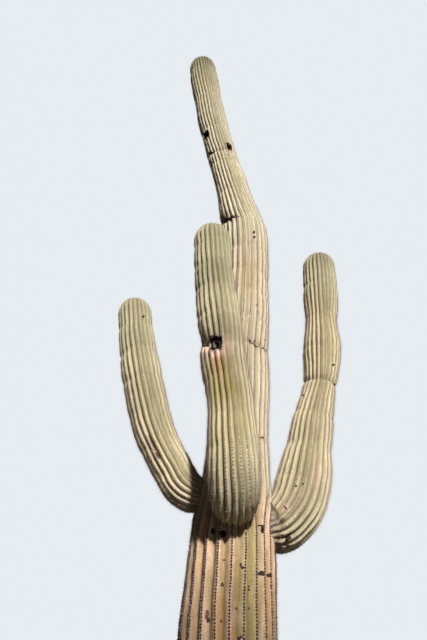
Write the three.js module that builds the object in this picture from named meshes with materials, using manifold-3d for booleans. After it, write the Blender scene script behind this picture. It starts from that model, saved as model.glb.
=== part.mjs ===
import * as THREE from "three";
import { mergeVertices } from "three/addons/utils/BufferGeometryUtils.js";
import Module from "manifold-3d";

// A saguaro cactus with one tall leaning stem and three upturned arms. Lengths are millimetres, +Z is up,
// and the origin is the middle of the trunk's flat foot on the ground. Someone who stands in front of it
// looks along +Y with +X to the right, so one arm comes forward, one goes left and one goes right.

const wasm = await Module();
wasm.setup();

const GAP = 0.3; // clear space between two pieces that touch in the plant
const ROOT_ROOM = 0.4; // widening of the trunk that leaves that space on the slanting sides of its ribs
const FURROW_DEPTH = 0.1; // depth of the furrow between two ribs, as a share of the radius
const SECTION_STEP = 165; // distance between two cross-sections along a limb
const DOME_STEPS = 4; // cross-sections over a rounded tip, the point included
const DOME_HEIGHT = 1.05; // height of a rounded tip as a share of the radius under it

// A station is a place on the middle of a limb: x, y, z and the radius to the rib crests there. Bands of
// slow growth are the stations with a smaller radius than their neighbours. The square direction stays at a
// right angle to the limb all the way, so that the ribs run along it without a twist.
const TRUNK = {
  ribs: 22,
  phase: 2,
  square: [0, -1, 0],
  stations: [
    [0, 0, 0, 402],
    [0, 0, 130, 368],
    [18, 0, 420, 342],
    [66, 0, 1150, 334],
    [131, 0, 2250, 324],
    [166, 0, 2700, 308],
    [186, 0, 3000, 294],
    [213, 0, 3360, 250],
    [230, 0, 3720, 236],
    [250, 0, 4090, 243],
    [267, 0, 4480, 231],
    [281, 0, 4720, 238],
    [304, 0, 5100, 225],
    [330, 0, 5560, 222],
    [322, 0, 5790, 217],
    [292, 0, 5950, 196],
    [250, 0, 6200, 170],
    [212, 0, 6440, 163],
    [160, 0, 6640, 154],
    [77, 0, 7050, 160],
    [24, 0, 7395, 161],
    [-26, 0, 7740, 150],
    [-56, 0, 8080, 160],
    [-84, 0, 8290, 152],
  ],
};

const LEFT_ARM = {
  ribs: 21,
  phase: 4,
  square: [0, -1, 0],
  split: 4,
  stations: [
    [150, 0, 3180, 112],
    [-70, 0, 3195, 132],
    [-185, 0, 3262, 146],
    [-264, 0, 3396, 151],
    [-352, 0, 3555, 151],
    [-425, 0, 3721, 158],
    [-518, 0, 4070, 161],
    [-558, 0, 4256, 161],
    [-595, 0, 4449, 152],
    [-626, 0, 4650, 146],
    [-646, 0, 4812, 142],
  ],
};

const FRONT_ARM = {
  ribs: 22,
  phase: 8,
  square: [1, 0, 0],
  split: 4,
  stations: [
    [182, 0, 3000, 115],
    [180, -290, 3022, 146],
    [178, -425, 3064, 172],
    [172, -520, 3195, 175],
    [170, -552, 3400, 168],
    [158, -552, 3700, 163],
    [113, -550, 4010, 169],
    [104, -550, 4175, 162],
    [82, -550, 4410, 168],
    [44, -550, 4820, 156],
    [30, -550, 5172, 151],
  ],
};

const RIGHT_ARM = {
  ribs: 22,
  phase: 0,
  square: [0, -1, 0],
  split: 5,
  stations: [
    [300, 0, 2915, 140],
    [504, 0, 2970, 183],
    [578, 0, 3031, 195],
    [645, 0, 3124, 203],
    [706, 0, 3297, 206],
    [732, 0, 3405, 196],
    [747, 0, 3474, 186],
    [768, 0, 3560, 171],
    [808, 0, 3740, 162],
    [896, 0, 4090, 131],
    [952, 0, 4440, 156],
    [970, 0, 4710, 133],
    [990, 0, 4970, 150],
    [1006, 0, 5322, 144],
  ],
};

const SKIN = { color: 0xc9bd94, roughness: 0.62, metalness: 0 };
const TRUNK_SKIN = { color: 0xbfa785, roughness: 0.68, metalness: 0 };

// The cross-sections of a limb from one of its stations to another. Each one has its middle, the limb's
// direction there, its radius and how deep its furrows are.
function sectionsBetween(limb, first, last) {
  const { stations } = limb;
  const middles = stations.map(([x, y, z]) => new THREE.Vector3(x, y, z));
  const axis = new THREE.CatmullRomCurve3(middles, false, "centripetal");
  const radii = new THREE.SplineCurve(stations.map(([, , z, radius]) => new THREE.Vector2(radius, z)));
  const sections = [];
  const addSection = (place) => {
    const along = place / (stations.length - 1);
    const onGround = place === 0 && limb === TRUNK;
    sections.push({
      middle: axis.getPoint(along),
      direction: onGround ? new THREE.Vector3(0, 0, 1) : axis.getTangent(along),
      radius: radii.getPoint(along).x,
      furrow: FURROW_DEPTH,
    });
  };
  for (let i = first; i < last; i += 1) {
    const steps = Math.max(1, Math.round(middles[i].distanceTo(middles[i + 1]) / SECTION_STEP));
    for (let step = 0; step < steps; step += 1) addSection(i + step / steps);
  }
  addSection(last);
  return sections;
}

// The sections of the rounded tip that closes a limb, up to its topmost point.
function domeSections({ middle, direction, radius, furrow }) {
  const sections = [];
  for (let step = 1; step <= DOME_STEPS; step += 1) {
    const turn = (Math.PI / 2) * (step / DOME_STEPS);
    sections.push({
      middle: middle.clone().addScaledVector(direction, DOME_HEIGHT * radius * Math.sin(turn)),
      direction,
      radius: radius * Math.cos(turn),
      furrow: furrow * Math.cos(turn),
    });
  }
  return sections;
}

// A closed ribbed limb: a lathed column with two sides to a rib, whose sections are laid on the limb's own.
function limbGeometry(limb, sections, grow = 0) {
  const rounded = sections.at(-1).radius < 1;
  const body = rounded ? sections.slice(0, -1) : sections;
  const rings = [body[0], ...body, sections.at(-1)];
  const onAxis = (row) => row === 0 || row === rings.length - 1;
  const profile = rings.map((ring, row) => new THREE.Vector2(onAxis(row) ? 0 : ring.radius + grow, row));
  const geometry = new THREE.LatheGeometry(profile, 2 * limb.ribs);
  const position = geometry.getAttribute("position");
  const square = new THREE.Vector3(...limb.square);
  for (let i = 0; i < position.count; i += 1) {
    const row = i % rings.length;
    const side = Math.floor(i / rings.length);
    const { middle, direction, furrow } = rings[row];
    const across = square.clone().addScaledVector(direction, -square.dot(direction)).normalize();
    const beside = direction.clone().cross(across);
    const turn = THREE.MathUtils.degToRad(limb.phase) + (Math.PI * side) / limb.ribs;
    const reach = profile[row].x * (side % 2 ? 1 - furrow : 1);
    const point = middle.clone();
    point.addScaledVector(across, reach * Math.cos(turn));
    point.addScaledVector(beside, reach * Math.sin(turn));
    position.setXYZ(i, point.x, point.y, point.z);
  }
  geometry.deleteAttribute("normal");
  geometry.deleteAttribute("uv");
  return mergeVertices(geometry, 0.01);
}

function solidOf(geometry) {
  return new wasm.Manifold(
    new wasm.Mesh({
      numProp: 3,
      vertProperties: geometry.getAttribute("position").array,
      triVerts: Uint32Array.from(geometry.index.array),
    }),
  );
}

function geometryOf(solid) {
  const { vertProperties, triVerts } = solid.getMesh();
  const geometry = new THREE.BufferGeometry();
  geometry.setAttribute("position", new THREE.BufferAttribute(vertProperties, 3));
  geometry.setIndex(new THREE.BufferAttribute(triVerts, 1));
  return geometry;
}

function namedMesh(name, geometry, finish) {
  const mesh = new THREE.Mesh(geometry, new THREE.MeshStandardMaterial(finish));
  mesh.name = name;
  return mesh;
}

// The whole limb that ends in a rounded tip, from a station on.
function sectionsToTip(limb, first) {
  const sections = sectionsBetween(limb, first, limb.stations.length - 1);
  return [...sections, ...domeSections(sections.at(-1))];
}

// An arm is an elbow that leaves the trunk and an upright on top of it. Both are placed by a group that
// stands where the arm is rooted. The trunk, a little enlarged, cuts the elbow's root to its own shape.
function arm(name, limb, trunkSpace) {
  const root = new THREE.Vector3(...limb.stations[0].slice(0, 3));
  const elbow = solidOf(limbGeometry(limb, sectionsBetween(limb, 0, limb.split)));
  const pieces = elbow.subtract(trunkSpace).decompose();
  const largest = pieces.reduce((best, piece) => (piece.volume() > best.volume() ? piece : best));
  const upper = sectionsToTip(limb, limb.split);
  upper[0].middle.addScaledVector(upper[0].direction, GAP);
  const group = new THREE.Group();
  group.position.copy(root);
  for (const [part, geometry] of [
    ["elbow", geometryOf(largest)],
    ["upright", limbGeometry(limb, upper)],
  ]) {
    geometry.translate(-root.x, -root.y, -root.z);
    group.add(namedMesh(`${name}_${part}`, geometry, SKIN));
  }
  return group;
}

const saguaro = new THREE.Group();
const trunkSections = sectionsToTip(TRUNK, 0);
const trunkSpace = solidOf(limbGeometry(TRUNK, trunkSections, ROOT_ROOM));
saguaro.add(namedMesh("trunk", limbGeometry(TRUNK, trunkSections), TRUNK_SKIN));
saguaro.add(arm("left_arm", LEFT_ARM, trunkSpace));
saguaro.add(arm("front_arm", FRONT_ARM, trunkSpace));
saguaro.add(arm("right_arm", RIGHT_ARM, trunkSpace));

export default saguaro;
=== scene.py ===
import math

import bpy
import numpy as np
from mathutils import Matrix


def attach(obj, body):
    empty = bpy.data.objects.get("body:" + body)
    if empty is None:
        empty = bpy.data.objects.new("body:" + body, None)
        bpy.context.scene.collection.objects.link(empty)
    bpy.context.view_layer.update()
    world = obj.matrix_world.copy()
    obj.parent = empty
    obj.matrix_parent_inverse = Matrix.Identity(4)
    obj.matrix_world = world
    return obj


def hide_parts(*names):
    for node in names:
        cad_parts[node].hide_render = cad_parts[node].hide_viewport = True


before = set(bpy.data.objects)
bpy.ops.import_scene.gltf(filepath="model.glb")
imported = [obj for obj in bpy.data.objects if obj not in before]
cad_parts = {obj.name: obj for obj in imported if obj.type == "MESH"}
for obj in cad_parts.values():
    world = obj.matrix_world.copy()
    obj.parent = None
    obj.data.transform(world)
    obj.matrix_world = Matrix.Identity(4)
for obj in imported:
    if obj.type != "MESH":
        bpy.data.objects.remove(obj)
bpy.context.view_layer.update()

print("frame loaded")


def addObject(name, data):
    thing = bpy.data.objects.new(name, data)
    bpy.context.scene.collection.objects.link(thing)
    return thing


# Camera, as the photo was taken: eye height, tilted up at the crown

cameraLook = {
    "place": (0.04, -4.676, 1.6),  # metres
    "tiltUp": 34.0,  # degrees above level
    "focal": 650.0,  # pixels of the photo's frame
    "longSide": 640.0,  # pixels
    "sensor": 36.0,  # millimetres
}


def addCamera(look):
    data = bpy.data.cameras.new("photoCamera")
    data.sensor_width = look["sensor"]
    data.lens = look["focal"] / look["longSide"] * look["sensor"]
    data.clip_end = 200
    camera = addObject("photoCamera", data)
    camera.location = look["place"]
    camera.rotation_euler = (math.radians(90 + look["tiltUp"]), 0, 0)
    bpy.context.scene.camera = camera
    bpy.context.scene.view_settings.view_transform = "Standard"


addCamera(cameraLook)


# Stations run along the middle of a limb: x, y, z and the radius to the rib crests, in metres. They are
# the solids' own, with a slimmer tip on the trunk. All other places are lengths along the limb, with
# degrees round it: 0 faces the viewer on the trunk and on the side arms, and -90 does on the front arm.
# The tables for "furrow", "crest", "age" and "areoleGap" go by height above the ground.
#   phase: degrees of the middle of rib 0, by length
#   widths: degrees of single ribs, by length; the others share what is left
#   newRibs: the rib before it, where it starts, where it is full, and for one that ends again, where
#   waists: place, depth, reach above and below, the side it faces, its spread (360 goes all round), its tilt
#   years: where one year's growth ends and the next starts
#   shade: how bright the skin is beside its usual colour, by length
#   pits: place, degrees, half height, half width, depth, and how far an inner ring stands up again
#   cracks: place and degrees of both ends, half width, depth
#   stains: place, degrees, half height, half width, kind, strength
#   scabs: place, degrees, half height, half width, by kind
#   folds: end of the corky root, degrees of its longest side, extra length there, depth of the pinch
#   furrow: depth of the furrows
#   crest: roundness of the crests
#   age: from 0 at a tip to 1 at the foot
#   ringStep: distance between rings of the mesh
#   fineZones: middle and half length of a stretch with fine rings
#   areoleGap: distance between felt pads on a crest

trunkLimb = {
    "name": "trunk",
    "nodes": ["trunk"],
    "slot": "trunk_skin",
    "square": (0, -1, 0),
    "phase": [
        (2.2, 1.2), (2.5, -0.8), (2.8, -2), (3.3, -2), (3.85, -3.5), (4.3, -2), (4.75, 2.5), (5.2, 2),
        (5.5, -0.5), (5.8, -1.5), (5.95, -4), (6.1, -5.5), (6.25, -7.5), (6.4, -12), (6.55, -12),
        (6.7, -8.5), (6.85, -7.5), (7, -10), (7.3, -8.5), (7.45, -7.5), (7.6, -8.5), (7.75, -6), (7.9, -7.5),
        (8.1, -9.5), (8.35, -9),
    ],
    "ribs": 21,
    "widths": {
        0: [(2.2, 16), (2.5, 17.5), (2.8, 19.5), (3.4, 14.5), (5.5, 14.5), (5.95, 13.8)],
        1: [(2.2, 16.3), (2.5, 16.4), (2.8, 16), (3.4, 14.5), (5.5, 14.5), (5.95, 12.8)],
        2: [(2.2, 15.7), (2.5, 14.5), (2.8, 13.2), (3.3, 14), (3.85, 15.5), (5.5, 15.5), (5.95, 12.2)],
        3: [(2.2, 14.8), (2.5, 12.8), (2.8, 13), (3.3, 14), (5.5, 14), (5.95, 12.2)],
        4: [(2.2, 14), (2.8, 12.6), (3.6, 13.5)],
        18: [(2.2, 17), (2.8, 18.5), (3.6, 14)],
        19: [(2.2, 16.7), (2.8, 17.8), (3.6, 14)],
        20: [(2.2, 16.2), (2.8, 15.4), (3.6, 14)],
        21: [(2.2, 14), (3.85, 15), (5.5, 15.5), (5.95, 12.2)],
        22: [(2.2, 14), (5.5, 14), (5.95, 12.5)],
    },
    "newRibs": [(2, 2.93, 3.3), (3, 3.02, 3.35), (9, 3.4, 4.1), (14, 3.2, 3.9), (19, 3.3, 3.9)],
    "stations": [
        (0, 0, 0, 0.402), (0, 0, 0.13, 0.368), (0.018, 0, 0.42, 0.342), (0.066, 0, 1.15, 0.334),
        (0.131, 0, 2.25, 0.324), (0.166, 0, 2.7, 0.308), (0.186, 0, 3, 0.294), (0.213, 0, 3.36, 0.25),
        (0.23, 0, 3.72, 0.236), (0.25, 0, 4.09, 0.243), (0.267, 0, 4.48, 0.231), (0.281, 0, 4.72, 0.238),
        (0.304, 0, 5.1, 0.224), (0.33, 0, 5.56, 0.22), (0.322, 0, 5.79, 0.213), (0.294, 0, 5.95, 0.191),
        (0.251, 0, 6.2, 0.166), (0.212, 0, 6.44, 0.156), (0.162, 0, 6.65, 0.15), (0.108, 0, 6.92, 0.15),
        (0.076, 0, 7.1, 0.147), (0.03, 0, 7.35, 0.155), (0.001, 0, 7.57, 0.149), (-0.027, 0, 7.76, 0.148),
        (-0.05, 0, 7.95, 0.155), (-0.066, 0, 8.1, 0.154), (-0.086, 0, 8.28, 0.148),
    ],
    "domeHeight": 1.17,  # of the radius under the tip
    "waists": [
        (4.41, 0.006, 0.025, 0.018, 45, 60), (5.9, 0.03, 0.06, 0.025, -80, 45),
        (5.87, 0.006, 0.05, 0.03, 0, 360),
    ],
    "years": [
        3.6, 3.87, 4.13, 4.4, 4.67, 4.94, 5.18, 5.45, 5.81, 6.25, 6.67, 6.81, 7.2, 7.5, 7.77, 8.02, 8.25,
    ],
    "shade": [
        (0, 0.72), (2.2, 0.58), (2.4, 0.75), (2.55, 0.9), (2.7, 1.1), (2.86, 1.13), (3, 0.96), (3.3, 0.86),
        (3.45, 0.88), (3.6, 0.97), (3.87, 0.97), (4.1, 0.91), (4.3, 0.94), (4.42, 0.9), (4.55, 0.98),
        (4.7, 1), (4.9, 1.02), (5.18, 0.99), (5.45, 0.95), (5.65, 1), (5.8, 1.04), (5.95, 1), (6.2, 1.05),
        (6.3, 0.97), (6.56, 1.1), (6.67, 1), (6.8, 1.03), (6.82, 0.92), (7.04, 0.91), (7.16, 0.99),
        (7.3, 0.91), (7.5, 0.86), (7.77, 0.89), (7.88, 0.82), (8.02, 0.92), (8.2, 0.85), (8.3, 0.7),
        (8.4, 0.54),
    ],
    "pits": [(6.837, 31, 0.046, 0.03, 0.07), (7.11, -58, 0.046, 0.042, 0.05)],
    "cracks": [
        (4.43, 18, 4.42, 22, 0.006, 0.01), (4.415, 24, 4.392, 31, 0.004, 0.01),
        (4.392, 36, 4.407, 50, 0.0045, 0.012), (4.407, 50, 4.412, 64, 0.005, 0.012),
        (4.412, 64, 4.419, 74, 0.007, 0.014), (5.92, -85, 5.825, -34, 0.034, 0.05),
        (5.82, -34, 5.795, -12, 0.007, 0.014), (6.845, -64, 6.81, -46, 0.01, 0.02),
        (6.81, -46, 6.8, 10, 0.004, 0.006), (7.04, -58, 6.87, -56, 0.007, 0.012),
    ],
    "scabs": {
        # peck: flat near-black patches, painted shade of small holes and creases
        "peckShade": [
            (5.605, 22.5, 0.013, 0.01), (5.548, 22.5, 0.012, 0.01), (4.785, 31, 0.008, 0.007),
            (4.727, 36.5, 0.006, 0.011), (2.933, 41.2, 0.006, 0.026), (2.905, 40.8, 0.024, 0.008),
            (2.868, -30, 0.022, 0.012), (2.847, -14, 0.024, 0.024), (2.53, 23.3, 0.006, 0.008),
            (2.51, 24, 0.006, 0.008), (4.497, 60.5, 0.008, 0.007), (4.385, 31.5, 0.018, 0.02),
            (4.437, 21, 0.008, 0.006), (4.43, 30, 0.008, 0.005),
        ],
        "cork": [
            (3.614, 53, 0.007, 0.012), (3.02, 47.5, 0.01, 0.012), (2.655, 11, 0.012, 0.007),
            (2.522, -11, 0.012, 0.011), (2.676, -11.4, 0.006, 0.008), (2.563, 57.9, 0.009, 0.01),
            (2.389, 8.5, 0.009, 0.007), (2.4, 25, 0.009, 0.007), (2.306, -9.2, 0.01, 0.007),
            (2.34, -27, 0.03, 0.01),
        ],
        "scar": [
            (2.625, 41.1, 0.015, 0.017), (2.628, 56.8, 0.014, 0.022), (2.635, 13, 0.008, 0.01),
            (2.31, -25.5, 0.014, 0.009), (2.204, 14.8, 0.026, 0.024), (6.9, -57, 0.04, 0.007),
            (7, -58, 0.05, 0.006),
        ],
        "pale": [(2.206, 14.8, 0.014, 0.012)],
    },
    "stains": [
        (2.3, -48, 0.9, 0.16, "warm", 0.2), (2.2, -8, 0.6, 0.06, "warm", 0.5),
        (2.5, 62, 0.5, 0.06, "warm", 0.5), (2.25, 5, 0.05, 0.014, "warm", 1),
        (2.35, 20, 0.5, 0.1, "moss", 0.5), (2.75, 24, 0.25, 0.08, "moss", 0.5),
        (2.2, -14, 0.5, 0.03, "moss", 0.5), (2.5, 47, 0.4, 0.03, "moss", 0.5),
        (5.1, 10, 0.25, 0.12, "moss", 0.25), (4.41, 40, 0.04, 0.14, "cork", 0.2),
    ],
    "folds": [],
    "furrow": [
        (0, 0.022), (0.5, 0.034), (2.6, 0.037), (3.4, 0.034), (5.5, 0.027), (6.3, 0.025), (7, 0.022),
        (8.3, 0.018),
    ],
    "crest": [(0, 1.5), (2.6, 1.3), (3.4, 1.7), (5, 2.1), (8.3, 2.1)],
    "age": [
        (0, 1), (0.7, 0.93), (1.8, 0.82), (2.8, 0.7), (3.3, 0.45), (5, 0.43), (5.6, 0.4), (7.3, 0.38),
        (7.7, 0.33), (7.866, 0.32), (7.868, 0.19), (8, 0.14), (8.3, 0.04),
    ],
    "ringStep": 0.026,
    "fineZones": [(4.41, 0.03), (5.87, 0.1), (6.84, 0.06), (7.1, 0.04), (2.93, 0.03), (2.62, 0.02)],
    "areoleGap": [
        (0, 0.03), (1.4, 0.024), (2.2, 0.0202), (2.75, 0.0192), (3.4, 0.018), (8, 0.016), (8.3, 0.011),
    ],
}

plainArm = {  # what the arms share, unless one says otherwise
    "slot": "arm_skin",
    "square": (0, -1, 0),
    "ribs": 21,
    "widths": {},
    "newRibs": [],
    "domeHeight": 1.05,
    "waists": [],
    "pits": [],
    "ringStep": 0.023,
}

leftArm = {
    **plainArm,
    "name": "leftArm",
    "nodes": ["left_arm_elbow", "left_arm_upright"],
    "phase": [(1.5, 4), (1.75, 4), (1.9, 6), (2.1, 6)],
    "widths": {0: [(0, 18)], 19: [(0, 18)], 20: [(0, 18)]},
    "stations": [
        (0.15, 0, 3.18, 0.112), (-0.07, 0, 3.195, 0.132), (-0.185, 0, 3.262, 0.146),
        (-0.264, 0, 3.396, 0.151), (-0.352, 0, 3.555, 0.151), (-0.425, 0, 3.721, 0.158),
        (-0.518, 0, 4.07, 0.161), (-0.558, 0, 4.256, 0.161), (-0.595, 0, 4.449, 0.152),
        (-0.626, 0, 4.65, 0.146), (-0.646, 0, 4.812, 0.142),
    ],
    "years": [0.47, 0.72, 1.0, 1.3, 1.56, 1.82],
    "shade": [
        (0.4, 1), (0.58, 1.15), (0.72, 1.08), (0.85, 0.97), (1, 0.9), (1.18, 0.86), (1.3, 0.92),
        (1.32, 0.98), (1.45, 1), (1.56, 0.88), (1.66, 0.83), (1.8, 0.92), (1.82, 0.92), (2, 0.94),
        (2.1, 0.86), (2.2, 0.76),
    ],
    "scabs": {
        "scar": [(1.883, 35.4, 0.012, 0.007)],
        "cork": [(0.73, -24, 0.03, 0.006), (0.62, -26, 0.03, 0.006)],
    },
    "cracks": [(0.79, -24, 0.67, -25.5, 0.004, 0.009), (0.66, -25.5, 0.56, -27, 0.0035, 0.008)],
    "stains": [(0.67, -25, 0.12, 0.02, "warm", 0.5)],
    "folds": [(0.27, 180, 0.05, 0.014)],
    "furrow": [(3.1, 0.018), (3.4, 0.029), (4.2, 0.029), (4.85, 0.022)],
    "crest": [(3.1, 1.9), (4.8, 2.2)],
    "age": [(3.1, 0.3), (3.6, 0.3), (4.4, 0.22), (4.7, 0.12), (4.85, 0.04)],
    "fineZones": [(0.68, 0.1)],
    "areoleGap": [(3.1, 0.017), (4.6, 0.015), (4.82, 0.011)],
}

frontArm = {
    **plainArm,
    "name": "frontArm",
    "nodes": ["front_arm_elbow", "front_arm_upright"],
    "square": (1, 0, 0),
    "phase": [
        (0.5, -89), (0.7, -92), (0.85, -96.5), (1.15, -97.5), (1.3, -93), (1.6, -91), (2.2, -90), (2.6, -92),
    ],
    "newRibs": [(8, 0.75, 1, 1.6), (12, 0.75, 1, 1.6)],
    "stations": [
        (0.182, 0, 3, 0.115), (0.18, -0.29, 3.022, 0.146), (0.178, -0.425, 3.064, 0.172),
        (0.172, -0.52, 3.195, 0.175), (0.17, -0.552, 3.4, 0.168), (0.158, -0.552, 3.7, 0.163),
        (0.113, -0.55, 4.01, 0.169), (0.104, -0.55, 4.175, 0.162), (0.082, -0.55, 4.41, 0.168),
        (0.044, -0.55, 4.82, 0.156), (0.03, -0.55, 5.172, 0.151),
    ],
    "waists": [(1.512, 0.036, 0.1, 0.012, -145, 42, -0.09), (1.53, 0.006, 0.04, 0.03, 0, 360)],
    "years": [0.45, 0.72, 0.97, 1.25, 1.8, 2.05, 2.27, 2.5],
    "shade": [
        (0.4, 1), (0.53, 0.88), (0.65, 0.95), (0.75, 1.1), (0.9, 1.12), (1, 1.02), (1.13, 0.92),
        (1.25, 0.92), (1.37, 0.78), (1.5, 0.86), (1.6, 0.65), (1.75, 0.83), (1.8, 0.96), (1.95, 0.94),
        (2.05, 0.78), (2.22, 0.7), (2.28, 0.88), (2.33, 1.03), (2.45, 0.97), (2.6, 0.98),
    ],
    "scabs": {"scar": [(1.573, -118, 0.006, 0.035)]},
    "pits": [(1.503, -111.5, 0.05, 0.048, 0.11, 0.07)],
    "cracks": [(1.555, -178, 1.455, -102, 0.007, 0.012)],
    "stains": [
        (1.475, -148, 0.04, 0.06, "blush", 1), (1.42, -103, 0.055, 0.035, "blush", 1),
        (1.47, -80, 0.13, 0.05, "blush", 0.4), (1.43, -124, 0.055, 0.035, "blush", 0.9),
        (1.4, -114, 0.06, 0.045, "warm", 0.9), (1.3, -112, 0.09, 0.05, "warm", 0.7),
        (1.18, -114, 0.24, 0.15, "moss", 1), (0.75, -130, 0.25, 0.1, "moss", 0.4),
        (0.95, -80, 0.3, 0.12, "moss", 0.35),
    ],
    "folds": [(0.3, -90, 0, 0.014)],
    "furrow": [(2.9, 0.018), (3.2, 0.03), (4.2, 0.03), (5.2, 0.023)],
    "crest": [(2.9, 1.9), (5.2, 2.2)],
    "age": [(2.9, 0.3), (3.5, 0.3), (4.4, 0.2), (5, 0.1), (5.2, 0.04)],
    "fineZones": [(1.47, 0.08)],
    "areoleGap": [(2.9, 0.017), (4.9, 0.015), (5.17, 0.011)],
}

rightArm = {
    **plainArm,
    "name": "rightArm",
    "nodes": ["right_arm_elbow", "right_arm_upright"],
    "phase": [
        (0.85, 0.3), (1, -1.5), (1.15, -3.5), (1.3, -1.5), (1.43, 2), (1.6, -2), (1.75, -5.5), (2, -7),
        (2.3, -9.3), (2.65, -11),
    ],
    "ribs": 22,
    "newRibs": [(9, 1.2, 1.6)],
    "stations": [
        (0.3, 0, 2.915, 0.14), (0.504, 0, 2.97, 0.183), (0.578, 0, 3.031, 0.195), (0.645, 0, 3.124, 0.203),
        (0.706, 0, 3.297, 0.206), (0.732, 0, 3.405, 0.196), (0.747, 0, 3.474, 0.186),
        (0.768, 0, 3.56, 0.171), (0.808, 0, 3.74, 0.162), (0.896, 0, 4.09, 0.131), (0.952, 0, 4.44, 0.156),
        (0.97, 0, 4.71, 0.133), (0.99, 0, 4.97, 0.15), (1.006, 0, 5.322, 0.144),
    ],
    "waists": [(1.445, 0.011, 0.03, 0.014, 0, 360)],
    "years": [0.6, 0.87, 1.15, 1.44, 1.76, 2.09, 2.42],
    "shade": [
        (0.3, 0.98), (0.67, 0.94), (0.87, 1.02), (1, 1), (1.15, 1.06), (1.3, 1.08), (1.4, 1.04), (1.5, 1.18),
        (1.63, 1.24), (1.76, 1.1), (1.88, 1.07), (2, 1.12), (2.1, 1.08), (2.2, 0.96), (2.4, 0.87),
        (2.44, 1.03), (2.6, 0.95), (2.7, 0.82), (2.85, 0.6),
    ],
    "pits": [(1.44, 82, 0.026, 0.018, 0.03)],
    "cracks": [
        (0.215, 40, 0.195, 50, 0.007, 0.014), (0.185, 34, 0.2, 47, 0.005, 0.012),
        (0.17, 56, 0.2, 66, 0.007, 0.014),
    ],
    "scabs": {
        # peck: flat near-black patches, painted shade of small holes
        "peckShade": [
            (1.293, -62, 0.009, 0.007), (1.161, -42, 0.009, 0.007), (0.489, -13.8, 0.008, 0.007),
            (0.518, -1.6, 0.008, 0.007), (1.596, 40.4, 0.008, 0.007), (0.298, -13, 0.006, 0.014),
        ],
        "scar": [(0.21, 44, 0.012, 0.01)],
    },
    "stains": [
        (0.3, -12, 0.03, 0.04, "blush", 0.7), (0.625, 26, 0.1, 0.02, "blush", 0.6),
        (0.36, 10, 0.08, 0.12, "cork", 0.2),
    ],
    "folds": [(0.235, -85, 0.05, 0.022)],
    "furrow": [(2.8, 0.024), (3.2, 0.032), (4.2, 0.028), (5.3, 0.022)],
    "crest": [(2.8, 1.8), (5.3, 2.2)],
    "age": [(2.8, 0.44), (2.95, 0.3), (4.4, 0.3), (5, 0.2), (5.2, 0.12), (5.35, 0.04)],
    "fineZones": [(0.22, 0.1), (1.44, 0.03)],
    "areoleGap": [(2.8, 0.017), (5, 0.015), (5.32, 0.011)],
}

limbs = [trunkLimb, leftArm, frontArm, rightArm]

shapeLook = {
    "columns": 8,  # mesh columns to a rib
    "fineStep": 0.007,  # distance between rings where there are marks, metres
    "bornShare": 0.05,  # width of a rib where it starts, beside a full one
    "endReach": 0.3,  # length over which a rib that ends grows flat, metres
    "areoleShare": 0.35,  # how full a rib is before pads grow on it
    "meander": 0.003,  # how far a furrow wanders to the side, metres
    "crestWave": 0.002,  # how far a crest rises and falls, metres
    "waves": {"furrow": ((0.55, 0.7), (0.23, 0.3)), "crest": ((0.31, 0.6), (0.12, 0.4)),
              "tone": ((1.9, 0.6), (0.7, 0.4))},  # lengths in metres, with their shares
    "seeds": {"furrow": 0, "crest": 7, "tone": 11, "years": 13, "areoles": 20, "spines": 50},
    "rootShallow": 0.25,  # how much shallower the furrows are in a corky root
    "yearTone": 0.4,  # share of the years in the tone of the skin
    "yearShade": 0.06,  # how much brighter or darker one year's part of a rib is
    "quickColumns": 4,
    "quickStep": 2.5,
}


# Small tools for all the shapes

def smoothStep(x):
    x = np.clip(x, 0, 1)
    return x * x * (3 - 2 * x)


def hump(away, reach):
    return np.exp(-((away / reach) ** 2))


def unit(arrows):
    return arrows / np.linalg.norm(arrows, axis=1, keepdims=True)


def byHeight(pairs, heights):
    return np.interp(heights, [p[0] for p in pairs], [p[1] for p in pairs])


# One piece of a spline, between two points with a rate of change at each, and its direction

def splinePiece(a, b, rateA, rateB, w):
    square, cubic = -3 * a + 3 * b - 2 * rateA - rateB, 2 * a - 2 * b + rateA + rateB
    return a + rateA * w + square * w ** 2 + cubic * w ** 3, rateA + 2 * square * w + 3 * cubic * w ** 2


# The limb's spline, as a fine table by length, with the length of its body and of the way over its tip

def splineTable(limb, fine=40):
    rows = np.array(limb["stations"], float)
    places, radii = rows[:, :3], rows[:, 3]
    ahead = np.vstack([2 * places[0] - places[1], places, 2 * places[-1] - places[-2]])
    wide = np.concatenate([[radii[0]], radii, [radii[-1]]])
    w = np.linspace(0, 1, fine, endpoint=False)[:, None]
    middles, directions, widths = [], [], []
    for i in range(len(rows) - 1):
        p0, p1, p2, p3 = ahead[i:i + 4]
        d0, d1, d2 = (math.sqrt(np.linalg.norm(b - a)) for a, b in ((p0, p1), (p1, p2), (p2, p3)))
        t1 = ((p1 - p0) / d0 - (p2 - p0) / (d0 + d1) + (p2 - p1) / d1) * d1
        t2 = ((p2 - p1) / d1 - (p3 - p1) / (d1 + d2) + (p3 - p2) / d2) * d1
        middle, direction = splinePiece(p1, p2, t1, t2, w)
        middles.append(middle)
        directions.append(direction)
        r0, r1, r2, r3 = wide[i:i + 4]
        widths.append(splinePiece(r1, r2, (r2 - r0) / 2, (r3 - r1) / 2, w[:, 0])[0])
    middles.append(places[-1:])
    directions.append(directions[-1][-1:])
    widths.append(radii[-1:])
    middle = np.vstack(middles)
    steps = np.linalg.norm(np.diff(middle, axis=0), axis=1)
    length = np.concatenate([[0], np.cumsum(steps)])
    return {"length": length, "middle": middle, "direction": unit(np.vstack(directions)),
            "radius": np.concatenate(widths), "body": length[-1],
            "tip": limb["domeHeight"] * radii[-1] * math.pi / 2}


# Where a limb is, and how it lies, at given lengths along it. Past the last station it is the round tip.

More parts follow.
